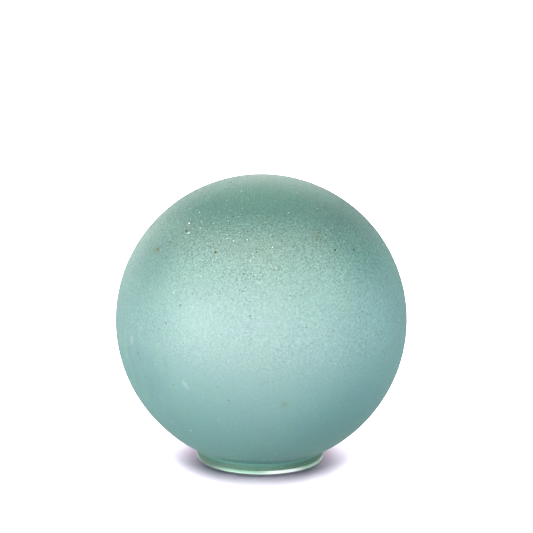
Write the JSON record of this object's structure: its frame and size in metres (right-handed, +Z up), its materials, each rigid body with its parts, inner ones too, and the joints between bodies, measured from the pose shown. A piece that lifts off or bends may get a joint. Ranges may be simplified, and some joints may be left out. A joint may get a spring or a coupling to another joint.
{
  "type": "glass orb",
  "caption": "Hollow ball of frosted blue-green blown glass, drawn in below to a short open collar with a ground and polished rim that it stands on.",
  "frame": {"origin": "centre of the collar's ground rim, on the surface that the orb stands on", "axes": "+Z up along the orb's axis of turning; the picture looks along +Y, with +X to its right"},
  "size_m": [0.2, 0.2, 0.1977],
  "materials": {
    "frosted_glass": "frosted, finely grained, with a clear polished band round the rim"
  },
  "bodies": {
    "root": {"glass_orb": "frosted_glass"}
  },
  "joints": []
}
